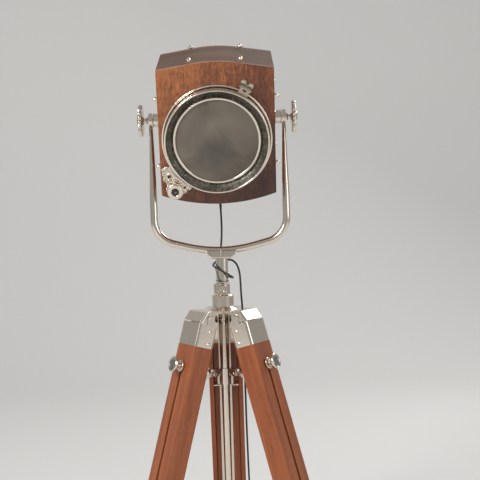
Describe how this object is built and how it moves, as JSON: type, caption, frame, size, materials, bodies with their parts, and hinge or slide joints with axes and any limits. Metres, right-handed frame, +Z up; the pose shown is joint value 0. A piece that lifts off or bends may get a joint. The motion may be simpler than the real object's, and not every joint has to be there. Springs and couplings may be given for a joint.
{
  "type": "searchlight table lamp",
  "caption": "Wooden searchlight lamp head in a bent metal yoke that tilts and pans on a folding wooden tripod with sliding leg extensions.",
  "frame": {"origin": "on the surface the feet stand on, in the middle of the box of the lamp without its cord", "axes": "+Z up along the centre tube, -Y the way the lens faces, +X to the right of the picture"},
  "size_m": [0.2662, 0.2421, 0.7093],
  "materials": {
    "wood_head": "lacquered satin",
    "wood_leg": "lacquered satin",
    "wood_inner": "plain",
    "nickel": "polished",
    "dark_nickel": "polished",
    "steel": "brushed",
    "aluminium": "polished",
    "frosted_glass": "frosted",
    "bulb_glass": "opal",
    "ceramic": "glazed",
    "rubber": "matt",
    "cord": "matt",
    "black_plastic": "matt"
  },
  "bodies": {
    "crown": {"crown": "nickel", "pivot_bolts": "nickel", "power_cord": "cord", "cord_coil": "cord", "cord_switch": "black_plastic", "plug": "black_plastic"},
    "leg_left": {"leg_cap_left": "nickel", "leg_outer_left": "wood_leg"},
    "slat_left": {"leg_inner_left": "wood_leg", "leg_foot_left": "rubber"},
    "knob_left": {"leg_knob_left": "nickel"},
    "link_left": {"spreader_link_left": "nickel"},
    "leg_right": {"leg_cap_right": "nickel", "leg_outer_right": "wood_leg"},
    "slat_right": {"leg_inner_right": "wood_leg", "leg_foot_right": "rubber"},
    "knob_right": {"leg_knob_right": "nickel"},
    "link_right": {"spreader_link_right": "nickel"},
    "leg_rear": {"leg_cap_rear": "nickel", "leg_outer_rear": "wood_leg"},
    "slat_rear": {"leg_inner_rear": "wood_leg", "leg_foot_rear": "rubber"},
    "knob_rear": {"leg_knob_rear": "nickel"},
    "link_rear": {"spreader_link_rear": "nickel"},
    "spreader": {"spreader_hub": "nickel", "spreader_pins": "steel"},
    "pan_collar": {"clamp_collar": "nickel"},
    "clamp_screw": {"clamp_screw": "nickel"},
    "mast": {"centre_tube": "nickel", "tube_plug": "nickel", "yoke_fork": "nickel", "yoke_saddle": "nickel"},
    "head": {"front_board": "wood_head", "back_board": "wood_head", "roof_panel": "wood_head", "bottom_panel": "wood_head", "side_panel_left": "wood_head", "side_panel_right": "wood_head", "frame_battens": "wood_inner", "acorn_nuts": "nickel", "cord_gland": "nickel", "tilt_bosses": "nickel", "base_ring": "nickel", "hinge_bracket": "nickel", "hinge_pin": "steel", "catch_bracket": "nickel", "front_screws": "steel", "reflector": "aluminium", "lamp_socket": "ceramic", "socket_bracket": "steel", "bulb": "bulb_glass"},
    "tilt_knob_left": {"tilt_knob_left": "nickel"},
    "tilt_knob_right": {"tilt_knob_right": "nickel"},
    "lens_door": {"bezel": "dark_nickel", "lens": "frosted_glass", "retaining_ring": "nickel", "hinge_leaf": "nickel"},
    "catch_knob": {"catch_knob": "nickel"},
    "switch_rocker": {"switch_rocker": "black_plastic"}
  },
  "joints": [
    {"name": "leg_left_fold", "type": "hinge", "parent": "crown", "child": "leg_left", "pos_m": [-0.02771, -0.0419, 0.3525], "axis": [0.5, -0.866, 0], "range_deg": [0, 12]},
    {"name": "leg_left_extend", "type": "slide", "parent": "leg_left", "child": "slat_left", "axis": [-0.2423, -0.1399, -0.96], "range_m": [0, 0.185]},
    {"name": "leg_left_knob_turn", "type": "hinge", "parent": "slat_left", "child": "knob_left", "pos_m": [-0.04419, -0.05141, 0.28722], "axis": [-0.8314, -0.48, 0.2798], "range_deg": [-180, 180]},
    {"name": "link_left_swing", "type": "hinge", "parent": "spreader", "child": "link_left", "pos_m": [-0.01299, -0.0334, 0.275], "axis": [0.5, -0.866, 0], "range_deg": [0, 37]},
    {"name": "leg_right_fold", "type": "hinge", "parent": "crown", "child": "leg_right", "pos_m": [0.02771, -0.0419, 0.3525], "axis": [0.5, 0.866, 0], "range_deg": [0, 12]},
    {"name": "leg_right_extend", "type": "slide", "parent": "leg_right", "child": "slat_right", "axis": [0.2423, -0.1399, -0.96], "range_m": [0, 0.185]},
    {"name": "leg_right_knob_turn", "type": "hinge", "parent": "slat_right", "child": "knob_right", "pos_m": [0.04419, -0.05141, 0.28722], "axis": [0.8314, -0.48, 0.2798], "range_deg": [-180, 180]},
    {"name": "link_right_swing", "type": "hinge", "parent": "spreader", "child": "link_right", "pos_m": [0.01299, -0.0334, 0.275], "axis": [0.5, 0.866, 0], "range_deg": [0, 37]},
    {"name": "leg_rear_fold", "type": "hinge", "parent": "crown", "child": "leg_rear", "pos_m": [0, 0.0061, 0.3525], "axis": [-1, 0, 0], "range_deg": [0, 12]},
    {"name": "leg_rear_extend", "type": "slide", "parent": "leg_rear", "child": "slat_rear", "axis": [0, 0.2798, -0.96], "range_m": [0, 0.185]},
    {"name": "leg_rear_knob_turn", "type": "hinge", "parent": "slat_rear", "child": "knob_rear", "pos_m": [0, 0.02513, 0.28722], "axis": [0, 0.96, 0.2798], "range_deg": [-180, 180]},
    {"name": "link_rear_swing", "type": "hinge", "parent": "spreader", "child": "link_rear", "pos_m": [0, -0.0109, 0.275], "axis": [-1, 0, 0], "range_deg": [0, 37]},
    {"name": "spreader_rise", "type": "slide", "parent": "crown", "child": "spreader", "axis": [0, 0, 1], "range_m": [0, 0.0166]},
    {"name": "pan", "type": "hinge", "parent": "crown", "child": "pan_collar", "pos_m": [0, -0.0259, 0.3868], "axis": [0, 0, 1], "range_deg": [-150, 150], "deforming": ["power_cord"]},
    {"name": "clamp_screw_turn", "type": "hinge", "parent": "pan_collar", "child": "clamp_screw", "pos_m": [0, -0.0259, 0.38685], "axis": [0, -1, 0], "range_deg": [-180, 180]},
    {"name": "height", "type": "slide", "parent": "pan_collar", "child": "mast", "axis": [0, 0, 1], "range_m": [0, 0.12], "deforming": ["power_cord"]},
    {"name": "tilt", "type": "hinge", "parent": "mast", "child": "head", "pos_m": [0, -0.0259, 0.61], "axis": [1, 0, 0], "range_deg": [-60, 43], "deforming": ["power_cord"]},
    {"name": "tilt_knob_left_turn", "type": "hinge", "parent": "head", "child": "tilt_knob_left", "pos_m": [0, -0.0259, 0.61], "axis": [-1, 0, 0], "range_deg": [-180, 180]},
    {"name": "tilt_knob_right_turn", "type": "hinge", "parent": "head", "child": "tilt_knob_right", "pos_m": [0, -0.0259, 0.61], "axis": [1, 0, 0], "range_deg": [-180, 180]},
    {"name": "lens_door_swing", "type": "hinge", "parent": "head", "child": "lens_door", "pos_m": [0.03725, -0.10739, 0.64053], "axis": [-0.866, -0.1462, 0.4782], "range_deg": [0, 100]},
    {"name": "catch_knob_turn", "type": "hinge", "parent": "lens_door", "child": "catch_knob", "pos_m": [-0.05531, -0.06418, 0.51974], "axis": [0, -0.9563, -0.2924], "range_deg": [-180, 180]},
    {"name": "switch_rock", "type": "hinge", "parent": "crown", "child": "switch_rocker", "pos_m": [0.084, 0.0677, 0.0127], "axis": [1, 0, 0], "range_deg": [-10, 0]}
  ],
  "couplings": [
    {"joint": "link_left_swing", "follows": "leg_left_fold", "ratio": 3.08},
    {"joint": "leg_right_fold", "follows": "leg_left_fold", "ratio": 1},
    {"joint": "link_right_swing", "follows": "leg_left_fold", "ratio": 3.08},
    {"joint": "leg_rear_fold", "follows": "leg_left_fold", "ratio": 1},
    {"joint": "link_rear_swing", "follows": "leg_left_fold", "ratio": 3.08},
    {"joint": "spreader_rise", "follows": "leg_left_fold", "m_per_rad": 0.0786}
  ]
}
